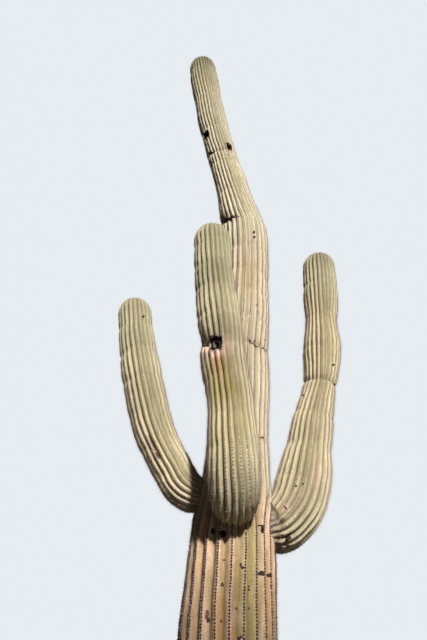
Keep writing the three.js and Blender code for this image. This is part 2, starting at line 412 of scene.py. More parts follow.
def sectionsAt(limb, s):
    table = limb["table"]
    body = np.minimum(s, table["body"])

    def column(key):
        return np.stack([np.interp(body, table["length"], table[key][:, k]) for k in range(3)], 1)

    direction = unit(column("direction"))
    turn = np.clip((s - table["body"]) / table["tip"], 0, 1) * math.pi / 2
    rise = limb["domeHeight"] * table["radius"][-1] * np.sin(turn)
    square = np.array(limb["square"], float)
    across = unit(square - direction * (direction @ square)[:, None])
    return {"s": s, "middle": column("middle") + direction * rise[:, None], "across": across,
            "beside": np.cross(direction, across), "shrink": np.cos(turn), "height": column("middle")[:, 2],
            "radius": np.interp(body, table["length"], table["radius"]) * np.cos(turn)}


def diceOf(limb, kind):
    return np.random.default_rng(limb["seed"] + shapeLook["seeds"][kind])


# Slow waves with a random start for each line, the same in every run

def wander(limb, lines, s, kind):
    dice = diceOf(limb, kind)
    total = np.zeros((len(s), lines))
    for wave, share in shapeLook["waves"][kind]:
        start = dice.uniform(0, 2 * math.pi, lines)
        stretch = dice.uniform(0.8, 1.25, lines)
        total += share * np.sin(2 * math.pi * s[:, None] / wave * stretch + start)
    return total


# The edges of the ribs, as angles round the limb, and how full each rib is

def ribWidths(limb, s):
    order = list(range(limb["ribs"]))
    full = np.ones((len(s), limb["ribs"] + len(limb["newRibs"])))
    born = np.zeros(full.shape[1])
    gone = np.full(full.shape[1], np.inf)
    for k, (before, start, end, *last) in enumerate(limb["newRibs"], limb["ribs"]):
        order.insert(order.index(before) + 1, k)
        born[k] = start
        full[:, k] = smoothStep((s - start) / (end - start))
        if last:
            gone[k] = last[0]
            full[:, k] *= smoothStep((last[0] - s) / shapeLook["endReach"])
    wide = shapeLook["bornShare"] + (1 - shapeLook["bornShare"]) * full
    wide = wide * ((s[:, None] >= born) & (s[:, None] < gone))
    fixed = list(limb["widths"])
    if fixed:
        wide[:, fixed] *= np.stack([byHeight(limb["widths"][k], s) for k in fixed], 1)
    free = [k for k in order if k not in fixed]
    wide[:, free] *= ((360 - wide[:, fixed].sum(1)) / wide[:, free].sum(1))[:, None]
    return wide[:, order], full[:, order], born[order], gone[order]


def ribLayout(limb, part):
    s = part["s"]
    wide, full = ribWidths(limb, s)[:2]
    edges = np.cumsum(wide, axis=1) / wide.sum(axis=1, keepdims=True) * 2 * math.pi
    edges = np.hstack([np.zeros((len(s), 1)), edges])
    edges += np.radians(byHeight(limb["phase"], s))[:, None] - edges[:, 1:2] / 2
    sway = wander(limb, full.shape[1], s, "furrow")
    sway *= (shapeLook["meander"] / np.maximum(part["radius"], 0.05) * part["shrink"] ** 2)[:, None]
    sway *= np.minimum(full, np.roll(full, 1, axis=1))
    edges[:, :-1] += sway
    edges[:, -1] += sway[:, 0]
    return edges, full


# What the marks do at given places: how far the skin sinks, how strong each stain is, how strong the painted
# shade of pits and cracks is, how corky the root is, and where a hole takes the place of the skin, with the
# depth of its bottom

markLook = {
    "waistWaver": 0.006,  # how far a waist strays up and down, metres
    "waistCork": (25, 0.25),  # cork line in it, by its depth, and at most
    "yearWaver": 0.008,
    "yearPinch": (0.006, 0.03, 0.014),  # depth between two years, its reach above and below
    "yearUneven": 0.5,  # how much those depths differ
    "yearCork": (0.45, 0.006),  # strength and half width of the line between two years
    "pitEdge": (1.05, 0.15),  # outer edge and width of a pit's wall, as shares of its size
    # painted shade over the inside of a pit: its outer edge and the width of its soft rim, as shares of its
    # size
    "pitShade": (1.2, 0.12),
    "pitCork": (1.6, 0.4),
    "pitRing": (0.66, 0.12, 0.75),  # place, width and paleness of the ring inside
    "pitRim": (1.3, 0.2, 0.1, 0.05),  # place, width, height as a share of the depth, deepest that counts
    "crackRagged": (0.35, 0.25),  # slow and quick waves of its edges, in half widths
    "rootWaves": (0.012, 0.008),  # how far the edge of the corky root strays, metres
    "rootLumps": 0.006,
}


# Radians round the limb from a place, and metres along it and round it

def offset(marks, degrees):
    return (marks["turn"] - math.radians(degrees) + math.pi) % (2 * math.pi) - math.pi


def awayFrom(marks, place, degrees):
    return marks["s"] - place, marks["radius"] * offset(marks, degrees)


def strengthen(marks, kind, value):
    marks["stain"][kind] = np.maximum(marks["stain"][kind], value)


def within(far, edge, wall):
    return smoothStep((edge - far) / wall)


def addWaist(marks, place, deep, above, below, facing, width, *tilt):
    away = marks["s"] - place - markLook["waistWaver"] * np.sin(2 * marks["turn"] + 9 * place)
    if tilt:
        away -= tilt[0] * np.clip(offset(marks, facing), -1.2, 1.2)
    lobe = hump(away, np.where(away > 0, above, below))
    side = 1 if width == 360 else hump(offset(marks, facing), math.radians(width))
    marks["sink"] += deep * lobe * side
    perDepth, most = markLook["waistCork"]
    strengthen(marks, "cork", min(most, perDepth * deep) * lobe ** 6 * side)


def addYear(marks, place):
    turn = marks["turn"]
    deep, above, below = markLook["yearPinch"]
    away = marks["s"] - place - markLook["yearWaver"] * np.sin(2 * turn + 9 * place)
    deep *= 1 + markLook["yearUneven"] * math.sin(50 * place)
    marks["sink"] += deep * hump(away, np.where(away > 0, above, below))
    patchy = 0.5 + 0.5 * np.sin(7 * turn + 23 * place) * np.sin(3 * turn + 5 * place)
    most, half = markLook["yearCork"]
    strengthen(marks, "cork", most * patchy * hump(away, half))


def addPit(marks, place, degrees, tall, wide, deep, *ringRise):
    x, y = awayFrom(marks, place, degrees)
    along, aside = x / tall, y / wide
    spin = np.arctan2(aside, along)
    far = (along ** 4 + aside ** 4) ** 0.25 / (1 + 0.05 * np.sin(3 * spin + 40 * place))
    cover = within(far, *markLook["pitEdge"])
    bottom = deep * (1 - 0.25 * far ** 2)
    # painted shade, near black over the inside of the pit
    dark = within(far, *markLook["pitShade"])
    if ringRise:
        middle, half, pale = markLook["pitRing"]
        ring = hump(far - middle, half)
        bottom = bottom - ringRise[0] * ring
        dark = dark * (1 - pale * ring)
    marks["lid"] = np.maximum(marks["lid"], cover)
    marks["floor"] = np.where(cover > 0, bottom, marks["floor"])
    middle, half, high, deepest = markLook["pitRim"]
    marks["sink"] -= high * min(deep, deepest) * hump(far - middle, half)
    strengthen(marks, "dark", dark)
    strengthen(marks, "cork", 0.8 * within(far, *markLook["pitCork"]))


def addCrack(marks, place, degrees, place2, degrees2, half, deep):
    run, across = place2 - place, marks["radius"] * math.radians(degrees2 - degrees)
    x, y = awayFrom(marks, place, degrees)
    share = np.clip((x * run + y * across) / (run * run + across * across), 0, 1)
    gap = np.hypot(x - share * run, y - share * across)
    slow, quick = markLook["crackRagged"]
    gap += half * (slow * np.sin(95 * y + 31 * place) + quick * np.sin(210 * x + 170 * y))
    marks["sink"] += deep * within(gap, 1.3 * half, half)
    # painted shade along the middle of the crack
    strengthen(marks, "dark", within(gap, 0.9 * half, 0.6 * half))
    strengthen(marks, "cork", 0.75 * within(gap, 2.2 * half, 1.4 * half))


def addStain(marks, place, degrees, tall, wide, kind, amount):
    x, y = awayFrom(marks, place, degrees)
    along, aside = x / tall, y / wide
    spin, start = np.arctan2(aside, along), 23 * place
    lobes = 0.08 * np.sin(3 * spin + start) + 0.06 * np.sin(5 * spin + 2 * start)
    strengthen(marks, kind, amount * within(np.hypot(along, aside) / (1 + lobes), 1.3, 0.9))


def addFolds(marks, end, facing, extra, deep):
    s, turn = marks["s"], marks["turn"]
    slow, quick = markLook["rootWaves"]
    stray = slow * np.sin(5 * turn + 1) + quick * np.sin(11 * turn)
    rooted = within(s, end + extra * np.cos(offset(marks, facing)) + stray, 0.05)
    lumps = np.sin(46 * s + 2 * np.sin(3 * turn)) * np.sin(9 * turn + 22 * s)
    marks["sink"] += deep * rooted ** 2 + markLook["rootLumps"] * rooted * lumps
    marks["rooted"] = rooted
    strengthen(marks, "cork", rooted * (0.6 - 0.35 * lumps))


markKinds = {"waists": addWaist, "pits": addPit, "cracks": addCrack, "stains": addStain, "folds": addFolds}


def marksAt(limb, s, turn, radius):
    marks = {key: np.zeros(len(s)) for key in ("sink", "lid", "floor", "rooted")}
    marks.update(s=s, turn=turn, radius=radius)
    # the stains, with the painted shade of pits and cracks first
    marks["stain"] = {kind: np.zeros(len(s)) for kind in ("dark", "cork", "blush", "moss", "warm")}
    for place in limb["years"]:
        addYear(marks, place)
    for kind, addMark in markKinds.items():
        for row in limb[kind]:
            addMark(marks, *row)
    return marks


# Any places on the skin: how far along, which rib, and from 0 to 1 over the rib's width

def skinAt(limb, s, rib, across):
    part = sectionsAt(limb, s)
    edges, full = ribLayout(limb, part)
    row = np.arange(len(s))
    turn = edges[row, rib] + (edges[row, rib + 1] - edges[row, rib]) * across
    marks = marksAt(limb, s, turn, part["radius"])
    height, shrink, lid = part["height"], part["shrink"], marks["lid"]
    depth = byHeight(limb["furrow"], height) * shrink ** 2 * (1 - shapeLook["rootShallow"] * marks["rooted"])
    lift = full[row, rib] ** 0.8 * (1 - abs(2 * across - 1) ** byHeight(limb["crest"], height))
    rise = shapeLook["crestWave"] * wander(limb, full.shape[1], s, "crest")[row, rib] * lift
    reach = part["radius"] - depth * (1 - lift) + (rise - marks["sink"]) * shrink
    reach = reach * (1 - lid) + (part["radius"] - marks["floor"]) * lid
    out = part["across"] * np.cos(turn)[:, None] + part["beside"] * np.sin(turn)[:, None]
    place = part["middle"] + out * np.maximum(reach, 0)[:, None]
    year = np.searchsorted(limb["years"], s - markLook["yearWaver"] * np.sin(2 * turn + 9 * s))
    patch = diceOf(limb, "years").uniform(-1, 1, (len(limb["years"]) + 1, full.shape[1]))[year, rib]
    ribTone = wander(limb, full.shape[1], s, "tone")[row, rib]
    tone = (1 - shapeLook["yearTone"]) * ribTone + shapeLook["yearTone"] * patch
    shade = byHeight(limb["shade"], s) * (1 + shapeLook["yearShade"] * patch)
    values = {"hollow": 1 - lift, "tone": tone, "shade": shade, "age": byHeight(limb["age"], height),
              **marks["stain"]}
    return place, values, part, out


def newMesh(name, points, faces, sizes, smooth):
    mesh = bpy.data.meshes.new(name)
    mesh.vertices.add(len(points))
    mesh.vertices.foreach_set("co", np.ascontiguousarray(points, dtype=np.float32).ravel())
    mesh.loops.add(len(faces))
    mesh.loops.foreach_set("vertex_index", np.ascontiguousarray(faces, dtype=np.int32))
    mesh.polygons.add(len(sizes))
    starts = np.concatenate([[0], np.cumsum(sizes)[:-1]])
    mesh.polygons.foreach_set("loop_start", starts.astype(np.int32))
    mesh.update(calc_edges=True)
    mesh.polygons.foreach_set("use_smooth", np.full(len(sizes), smooth))
    mesh.validate()
    return addObject(name, mesh)


# Triangles from each point of a ring to the next one and to a centre

def fan(ring, after, centre):
    return np.stack([ring, after, ring * 0 + centre], 1)


def addValues(mesh, name, values):
    layer = mesh.attributes.new(name, "FLOAT", "POINT")
    layer.data.foreach_set("value", np.ascontiguousarray(values, dtype=np.float32))


# The skin of a limb: rings of columns, closed at the foot and at the tip. Below its start and past its end,
# a rib has all its columns in one point.

def ringPlaces(limb):
    body, tip = limb["table"]["body"], limb["table"]["tip"]
    scale = 1
    fine = np.linspace(0, body, 6000)
    step = np.full(len(fine), limb["ringStep"])
    for place, half in limb["fineZones"]:
        wanted = shapeLook["fineStep"] + limb["ringStep"] * smoothStep((abs(fine - place) - half) / 0.08)
        step = np.minimum(step, wanted)
    count = np.concatenate([[0], np.cumsum(np.diff(fine) / step[:-1])]) / scale
    rings = round(count[-1])
    s = np.interp(np.arange(rings) * count[-1] / rings, count, fine)
    tipRings = round(tip / limb["ringStep"] / scale) + 5
    return np.concatenate([s, body + tip * np.linspace(0, 1, tipRings)[:-1]])


# Where the corners of each face lie on the map: a strip of it for every so many rings, about as long as the
# limb is round.

def skinMap(limb, s, around):
    margin, foot = 0.02, 0.01  # clear space beside a strip, in its widths, and under and over all strips
    strips = max(1, round(s[-1] / (2 * math.pi * np.mean(limb["table"]["radius"]))))
    perStrip = math.ceil((len(s) - 1) / strips)
    ring, column = np.divmod(np.arange((len(s) - 1) * around), around)
    strip, row = ring // perStrip, ring % perStrip
    corners = []
    for u, v in ((0, 0), (1, 0), (1, 1), (0, 1)):
        right = (strip + margin + (1 - 2 * margin) * ((column + u) / around)) / strips
        corners.append(np.stack([right, foot + (1 - 2 * foot) * (row + v) / perStrip], 1))
    return np.stack(corners, axis=1)


# The fans that close the foot and the tip, with their small triangles at the lower and upper edge of the map

def skinFans(index, around):
    last = index.size
    foot, tip = index[0], index[-1]
    fans = []
    for ring, after, centre in ((np.roll(foot, -1), foot, last), (tip, np.roll(tip, -1), last + 1)):
        fans.append(fan(ring, after, centre)[ring != after])
    faces = np.concatenate(fans)
    tall = 0.008  # of a triangle on the map, in the clear space
    right = (faces[:, 0] % around) / around * 0.98
    up = np.repeat([0, 0.999 - tall], [len(some) for some in fans])
    corner = np.array([[0, 0], [0.5, 0], [0.25, 1]]) * tall
    return faces, corner[None] + np.stack([right, up], 1)[:, None]


def makeSkin(limb):
    columns = shapeLook["columns"]
    s = ringPlaces(limb)
    _, full, born, gone = ribWidths(limb, s)
    rings, ribs = len(s), full.shape[1]
    around = ribs * columns
    rib = np.tile(np.repeat(np.arange(ribs), columns), rings)
    across = np.tile(np.arange(columns) / columns, rings * ribs)
    points, values, part, _ = skinAt(limb, np.repeat(s, around), rib, across)
    index = np.arange(rings * around).reshape(rings, around)
    for k in range(ribs - 1, -1, -1):
        shut = (s < born[k]) | (s >= gone[k])
        after = index[:, (k + 1) % ribs * columns]
        mine = slice(k * columns, (k + 1) * columns)
        index[:, mine] = np.where(shut[:, None], after[:, None], index[:, mine])
    low, high = index[:-1], index[1:]
    quads = np.stack([low, np.roll(low, -1, 1), np.roll(high, -1, 1), high], axis=2).reshape(-1, 4)
    flatLow, flatHigh = quads[:, 0] == quads[:, 1], quads[:, 2] == quads[:, 3]
    keep = np.ones((len(quads), 4), bool)
    keep[flatLow, 1] = False
    keep[flatHigh, 3] = False
    keep[flatLow & flatHigh] = False
    fans, fanMap = skinFans(index, around)
    sizes = np.concatenate([keep.sum(1)[keep.any(1)], np.full(len(fans), 3)])
    loops = np.concatenate([quads[keep], fans.reshape(-1)])
    uvs = np.concatenate([skinMap(limb, s, around)[keep], fanMap.reshape(-1, 2)])
    top = sectionsAt(limb, np.array([limb["table"]["body"] + limb["table"]["tip"]]))["middle"]
    points = np.vstack([points, part["middle"][:1], top])
    used, loops = np.unique(loops, return_inverse=True)
    piece = newMesh(limb["name"] + "Skin", points[used], loops, sizes, True)
    for key, value in values.items():
        addValues(piece.data, key, np.concatenate([value, value[:1], value[-1:]])[used])
    layer = piece.data.uv_layers.new(name="OFBake")
    layer.data.foreach_set("uv", uvs.astype(np.float32).ravel())
    print(limb["name"], "skin:", len(sizes), "faces")
    return piece


# Areoles: a felt pad on the crest at each, and a fan of spines round it

spineLook = {
    "stray": 0.12,  # how far a pad is off its place, in gaps
    # no spines in the painted shade of pits and cracks, nor on cork
    "noneOver": {"dark": 0.2, "cork": 0.5},  # none grow where these marks are stronger
    "tipBare": 0.2,  # nor where the tip is narrower, as a share of the limb
    "tipReach": 0.95,
    "tipShorter": 0.25,  # how much shorter the spines are at the very tip
    "foot": (0.0025, 0.004),  # from the middle of the pad to a spine, metres, and what age adds to it
    "fan": (0.35, 0.4),  # how far a spine is off its place, in gaps, and where the first one is, radians
    "radial": {"count": 4, "rise": (12, 40), "long": (0.009, 0.017)},  # degrees off the skin, metres
    "central": {"count": 2, "rise": (45, 88), "long": (0.015, 0.030)},
    "thick": 0.0012,
    "oldThicker": 1.4,  # how much thicker the spines of the oldest skin are
    # spines by age: share of their full length
    "lengths": [
        (0, 0.35), (0.15, 0.5), (0.25, 1), (0.305, 1), (0.32, 0.4), (0.385, 0.4), (0.41, 1), (0.8, 0.9),
    ],
    "padRooted": (0.001, 0.003),  # how deep the rim and the middle of a pad sit in the skin
    # felt by age: half width, half height, how far it stands out; pads of ages 0.25 to 0.305 also paint
    # spine shadows
    "pads": [
        (0.04, 0.004, 0.003, 0.0012), (0.2, 0.0052, 0.0036, 0.0016), (0.25, 0.0086, 0.0045, 0.004),
        (0.305, 0.0086, 0.0045, 0.004), (0.32, 0.005, 0.0036, 0.0015), (0.385, 0.005, 0.0036, 0.0015),
        (0.41, 0.0068, 0.0044, 0.003), (0.6, 0.0078, 0.008, 0.005), (0.8, 0.0088, 0.0098, 0.006),
    ],
}


def pickSpots(spots, keep):
    return {key: value[keep] for key, value in spots.items()}


def areolePlaces(limb, look):
    end = limb["table"]["body"] + limb["table"]["tip"] * look["tipReach"]
    fine = np.linspace(0, end, 4000)
    gap = byHeight(limb["areoleGap"], sectionsAt(limb, fine)["height"])
    count = np.concatenate([[0], np.cumsum(np.diff(fine) / gap[:-1])])
    dice = diceOf(limb, "areoles")
    s, rib = [], []
    for k in range(limb["ribs"] + len(limb["newRibs"])):
        marks = np.arange(int(count[-1])) + dice.uniform(0.1, 0.9)
        marks = marks + dice.uniform(-look["stray"], look["stray"], len(marks))
        s.append(np.interp(marks[marks < count[-1]], count, fine))
        rib.append(np.full(len(s[-1]), k))
    s, rib = np.concatenate(s), np.concatenate(rib)
    keep = ribWidths(limb, s)[1][np.arange(len(s)), rib] > shapeLook["areoleShare"]
    s, rib = s[keep], rib[keep]
    crest = np.full(len(s), 0.5)
    place, values, part, out = skinAt(limb, s, rib, crest)
    upward = unit(skinAt(limb, s + 0.004, rib, crest)[0] - place)
    aside = unit(np.cross(out, upward))
    spots = {"place": place, "normal": np.cross(upward, aside), "upward": upward, "aside": aside,
             "age": values["age"], "shrink": part["shrink"]}
    grows = [values[kind] < most for kind, most in look["noneOver"].items()]
    return pickSpots(spots, np.all(grows, axis=0) & (part["shrink"] > look["tipBare"]))


# The same small body at every place. Each corner is an array of points, one for each body.

def manyBodies(name, corners, faces, smooth):
    points, faces = np.stack(corners, axis=1), np.array(faces)
    loops = (np.arange(len(points))[:, None, None] * len(corners) + faces[None]).reshape(-1)
    return newMesh(name, points.reshape(-1, 3), loops, np.full(len(points) * len(faces), 3), smooth)


def ringRound(middle, side, other, count):
    turns = [2 * math.pi * k / count for k in range(count)]
    return [middle + side * math.cos(a) + other * math.sin(a) for a in turns]


def needles(name, base, aim, length, thick):
    # one closed three-sided point to each spine
    side = unit(np.cross(aim, np.where(abs(aim[:, 2:]) < 0.9, [[0, 0, 1.0]], [[1.0, 0, 0]])))
    side *= thick[:, None] / 2
    corners = ringRound(base, side, np.cross(aim, side), 3) + [base + aim * length[:, None]]
    return manyBodies(name, corners, [[0, 1, 3], [1, 2, 3], [2, 0, 3], [2, 1, 0]], False)


def makeSpines(name, spots, look, dice):
    n, stray, first = len(spots["age"]), *look["fan"]
    share = byHeight(look["lengths"], spots["age"]) * (1 - look["tipShorter"] * (1 - spots["shrink"]))
    foot = look["foot"][0] + look["foot"][1] * spots["age"]
    bases, aims, lengths = [], [], []
    for rule in (look["radial"], look["central"]):
        for k in range(rule["count"]):
            way = 2 * math.pi * (k + dice.uniform(-stray, stray, n)) / rule["count"] + first
            rise = np.radians(dice.uniform(*rule["rise"], n))
            flat = spots["upward"] * np.cos(way)[:, None] + spots["aside"] * np.sin(way)[:, None]
            aims.append(flat * np.cos(rise)[:, None] + spots["normal"] * np.sin(rise)[:, None])
            bases.append(spots["place"] + flat * foot[:, None])
            lengths.append(dice.uniform(*rule["long"], n) * share)
    base, aim, length = np.vstack(bases), np.vstack(aims), np.concatenate(lengths)
    thick = look["thick"] * (1 + look["oldThicker"] * np.tile(spots["age"], len(bases)))
    return needles(name, base, aim, length, thick)


def makePads(name, spots, look):
    ages = [row[0] for row in look["pads"]]
    wide, tall, rise = (np.interp(spots["age"], ages, [row[k] for row in look["pads"]]) for k in (1, 2, 3))
    rim, root = look["padRooted"]
    place, normal = spots["place"], spots["normal"]
    aside, upward = spots["aside"] * wide[:, None], spots["upward"] * tall[:, None]
    corners = ringRound(place - normal * rim, aside, upward, 4)
    corners += [place + normal * rise[:, None], place - normal * root]
    around = [(k, (k + 1) % 4) for k in range(4)]
    return manyBodies(name, corners, [[a, b, 4] for a, b in around] + [[b, a, 5] for a, b in around], True)


# Scabs: flat lumps of cork on the skin, each closed underneath. The near-black peck ones paint the shade of
# small holes and creases.

scabLook = {
    "spokes": 14,
    "rings": (0.4, 0.75, 0.92, 1.0),  # as shares of its size
    "thick": 0.003,
    "lift": 0.003,  # height of the rim off the skin
    "rooted": 0.006,  # how much deeper than it is thick the point under it goes
    "ragged": 0.22,
    "lumpy": (0.5, 1.3),
    "seed": 77,
}


def ribAtTurn(limb, s, turn):
    edges, _ = ribLayout(limb, sectionsAt(limb, s))
    turn = edges[:, 0] + (turn - edges[:, 0]) % (2 * math.pi)
    rib = np.clip((turn[:, None] >= edges[:, :-1]).sum(1) - 1, 0, edges.shape[1] - 2)
    row = np.arange(len(s))
    wide = np.maximum(edges[row, rib + 1] - edges[row, rib], 1e-6)
    return rib, np.clip((turn - edges[row, rib]) / wide, 0, 1)


def scabFaces(spokes, rings):
    centre, base, rim = rings * spokes, rings * spokes + 1, (rings - 1) * spokes
    a, b = np.arange(spokes), (np.arange(spokes) + 1) % spokes
    faces = [fan(a, b, centre)]
    for low in range(0, rim, spokes):
        high = low + spokes
        faces.append(np.stack([high + a, high + b, low + a], 1))
        faces.append(np.stack([high + b, low + b, low + a], 1))
    faces.append(fan(rim + b, rim + a, base))
    return np.concatenate(faces).reshape(-1)


def makeScabs(name, kind, look):
    points, loops, count = [], [], 0
    dice = np.random.default_rng(look["seed"])
    spokes, rings = look["spokes"], len(look["rings"])
    for limb in limbs:
        for place, degrees, tall, wide in limb["scabs"].get(kind, []):
            spin = 2 * math.pi * np.arange(spokes) / spokes
            outline = 1 + look["ragged"] * dice.uniform(-1, 1, spokes)
            share = np.array(look["rings"])[:, None]
            radius = float(np.interp(place, limb["table"]["length"], limb["table"]["radius"]))
            s = (place + tall * share * outline * np.cos(spin)).reshape(-1)
            turn = (math.radians(degrees) + wide / radius * share * outline * np.sin(spin)).reshape(-1)
            s, turn = np.append(s, place), np.append(turn, math.radians(degrees))
            spot, _, _, out = skinAt({**limb, "cracks": []}, s, *ribAtTurn(limb, s, turn))
            share = np.append(np.repeat(look["rings"], spokes), 0)
            high = look["thick"] * (1 - share ** 3) * dice.uniform(*look["lumpy"], len(s)) + look["lift"]
            top = spot + out * high[:, None]
            points += [top, top[-1:] - out[-1:] * (look["thick"] + look["rooted"])]
            loops.append(scabFaces(spokes, rings) + count)
            count += len(top) + 1
    loops = np.concatenate(loops)
    return newMesh(name, np.vstack(points), loops, np.full(len(loops) // 3, 3), True)


# Node groups and materials

def startGroup(name, inputs, outputs):
    group = bpy.data.node_groups.new(name, "ShaderNodeTree")
    for label, value in inputs.items():
        socket = group.interface.new_socket(name=label, in_out="INPUT", socket_type="NodeSocketFloat")
        socket.default_value = value
    for label in outputs:
        group.interface.new_socket(name=label, in_out="OUTPUT", socket_type="NodeSocketFloat")
    return group, group.nodes.new("NodeGroupInput"), group.nodes.new("NodeGroupOutput")


def setInputs(tree, node, values):
    for key, value in values.items():
        if isinstance(value, bpy.types.NodeSocket):
            tree.links.new(value, node.inputs[key])
        else:
            node.inputs[key].default_value = value


def addNode(tree, kind, values=None, **settings):
    node = tree.nodes.new(kind)
    for key, value in settings.items():
        setattr(node, key, value)
    setInputs(tree, node, values or {})
    return node


def mixColour(tree, factor, a, b, blend="MIX"):
    a, b = ((*c, 1) if isinstance(c, tuple) else c for c in (a, b))
    node = addNode(tree, "ShaderNodeMix", {0: factor, 6: a, 7: b}, data_type="RGBA", blend_type=blend)
    return node.outputs[2]


def sumOf(tree, operation, a, b):
    return addNode(tree, "ShaderNodeMath", {0: a, 1: b}, operation=operation).outputs[0]


def spread(tree, value, low, high, out=(0, 1)):
    values = {"Value": value, "From Min": low, "From Max": high, "To Min": out[0], "To Max": out[1]}
    return addNode(tree, "ShaderNodeMapRange", values).outputs["Result"]


def glaze(tree, colour, tint, *shares):
    # a tint over a colour, as strong as all the shares multiplied
    share = shares[0]
    for other in shares[1:]:
        share = sumOf(tree, "MULTIPLY", share, other)
    return mixColour(tree, share, colour, tint)


def shadeBy(tree, colour, value, share=1.0):
    # brighter or darker by a value
    grey = addNode(tree, "ShaderNodeCombineColor", {0: value, 1: value, 2: value}).outputs[0]
    return mixColour(tree, share, colour, grey, "MULTIPLY")


def blotchGroup():
    # soft patches, drawn out along the limb
    sizes = {"Size": 0.2, "Stretch": 0.4, "Low": 0.4, "High": 0.6, "Detail": 4.0}
    group, start, end = startGroup("blotches", sizes, ["Mask"])
    place = addNode(group, "ShaderNodeTexCoord").outputs["Object"]
    squash = addNode(group, "ShaderNodeCombineXYZ", {0: 1.0, 1: 1.0, 2: start.outputs["Stretch"]}).outputs[0]
    place = addNode(group, "ShaderNodeVectorMath", {0: place, 1: squash}, operation="MULTIPLY").outputs[0]
    noise = addNode(group, "ShaderNodeTexNoise", {
        "Vector": place, "Scale": sumOf(group, "DIVIDE", 1.0, start.outputs["Size"]),
        "Detail": start.outputs["Detail"], "Roughness": 0.55})
    mask = spread(group, noise.outputs["Fac"], start.outputs["Low"], start.outputs["High"])
    group.links.new(mask, end.inputs["Mask"])
    return group


def reliefGroup():
    # fine wrinkles across the limb, pores and a slow unevenness
    group, start, end = startGroup("hideRelief", {"Wrinkles": 0.5, "Pores": 0.3}, ["Height", "Pits"])
    place = addNode(group, "ShaderNodeTexCoord").outputs["Object"]
    flat = addNode(group, "ShaderNodeVectorMath", {0: place, 1: (1, 1, 5)}, operation="MULTIPLY").outputs[0]
    wrinkle = {"Vector": flat, "Scale": 28.0, "Detail": 5.0, "Roughness": 0.6}
    folds = addNode(group, "ShaderNodeTexNoise", wrinkle).outputs["Fac"]
    pores = addNode(group, "ShaderNodeTexVoronoi", {"Vector": place, "Scale": 320.0}).outputs["Distance"]
    speckle = {"Vector": place, "Scale": 100.0, "Detail": 4.0}
    grain = addNode(group, "ShaderNodeTexNoise", speckle).outputs["Fac"]
    height = sumOf(group, "MULTIPLY", folds, start.outputs["Wrinkles"])
    fine = sumOf(group, "MULTIPLY", sumOf(group, "ADD", pores, grain), start.outputs["Pores"])
    group.links.new(sumOf(group, "ADD", height, fine), end.inputs["Height"])
    group.links.new(grain, end.inputs["Pits"])
    return group


blotches = blotchGroup()
relief = reliefGroup()


def blotchMask(tree, size, stretch, low, high, detail=4.0):
    values = {"Size": size, "Stretch": stretch, "Low": low, "High": high, "Detail": detail}
    return addNode(tree, "ShaderNodeGroup", values, node_tree=blotches).outputs["Mask"]


def startMaterial(name):
    material = bpy.data.materials.new(name)
    material.use_nodes = True
    return material, material.node_tree, material.node_tree.nodes["Principled BSDF"]


# The hide of all four limbs. Its colours go by age, from the tips to the foot, with the stains over them,
# and painted shade in the furrows, pits and cracks.

hideLook = {
    "ages": [  # age from tip to foot, colour of the flanks
        (0.04, (0.33, 0.315, 0.19)), (0.2, (0.47, 0.435, 0.265)), (0.3, (0.50, 0.455, 0.28)),
        (0.38, (0.58, 0.54, 0.37)), (0.45, (0.56, 0.49, 0.34)), (0.57, (0.52, 0.40, 0.268)),
        (0.75, (0.36, 0.255, 0.145)), (1.0, (0.16, 0.115, 0.08)),
    ],
    "crests": [  # age, colour of the crests
        (0.04, (0.42, 0.395, 0.292)), (0.2, (0.56, 0.52, 0.38)), (0.3, (0.59, 0.535, 0.402)),
        (0.38, (0.66, 0.61, 0.495)), (0.45, (0.66, 0.57, 0.47)), (0.6, (0.655, 0.492, 0.41)),
        (0.75, (0.56, 0.40, 0.31)), (1.0, (0.20, 0.15, 0.12)),
    ],
    "patches": {  # size, stretch, where the noise starts and is full
        "drift": (0.45, 0.5, 0.3, 0.7),
        "green": (0.14, 0.3, 0.5, 0.72),
        "warm": (0.1, 0.3, 0.3, 0.5),
        "cork": (0.02, 1.0, 0.35, 0.65),
        "crumbs": (0.012, 1.0, 0.3, 0.7),
        "streak": (0.022, 0.07, 0.3, 0.7),
    },
    "oldPatches": [  # colour, patch, how strong it is at most
        ((0.54, 0.29, 0.14), (0.07, 0.3, 0.5, 0.62), 0.4),
        ((0.36, 0.33, 0.14), (0.09, 0.3, 0.5, 0.62), 0.6),
        ((0.68, 0.50, 0.385), (0.06, 0.3, 0.48, 0.62), 0.65),
        ((0.30, 0.19, 0.10), (0.03, 0.3, 0.56, 0.66), 0.5),
    ],
    "crestLine": ((0.40, 0.24, 0.17), (0.07, 0.045, 0.035)),  # young and old
    # furrow: dark brown in the furrows, partly the skin's own colour, partly painted shade
    "furrow": (0.15, 0.085, 0.027),
    "furrowDirtAndShadeShare": (0.9, 0.55),  # young and old
    "green": (0.34, 0.345, 0.17),
    "pink": (0.60, 0.45, 0.35),
    "warm": (0.54, 0.28, 0.14),
    "moss": (0.36, 0.32, 0.10),
    "blush": (0.90, 0.62, 0.50),
    "cork": ((0.13, 0.09, 0.08), (0.40, 0.30, 0.25)),
    # painted shade: near black, inside pits and along cracks
    "dark": (0.012, 0.008, 0.006),
    "greenMost": 0.4,  # patches of green on the younger skin
    "rosyMost": 0.4,  # ribs of one year that are pinker than the others
    "dullMost": 0.3,  # and those that are greener
    "ridgeMost": 0.8,
    "lineMost": 0.85,
    "mossMost": 0.75,
    "freckles": (0.76, 1.16),  # darkest and brightest, beside the colour under them
    "streaks": (0.78, 1.14),
    "relief": {"Wrinkles": 0.6, "Pores": 0.25},
    "rough": (0.6, 0.85),
    "shine": 0.07,
    "bump": {"Strength": 0.5, "Distance": 0.004},
}


def addRamp(tree, factor, stops):
    ramp = addNode(tree, "ShaderNodeValToRGB", {"Fac": factor})
    elements = ramp.color_ramp.elements
    while len(elements) < len(stops):
        elements.new(0.5)
    for element, (where, colour) in zip(elements, stops):
        element.position = where
        element.color = (*colour, 1)
    return ramp.outputs["Color"]


# What lies over the colour of the flanks, from the lowest to the highest: a colour and its shares

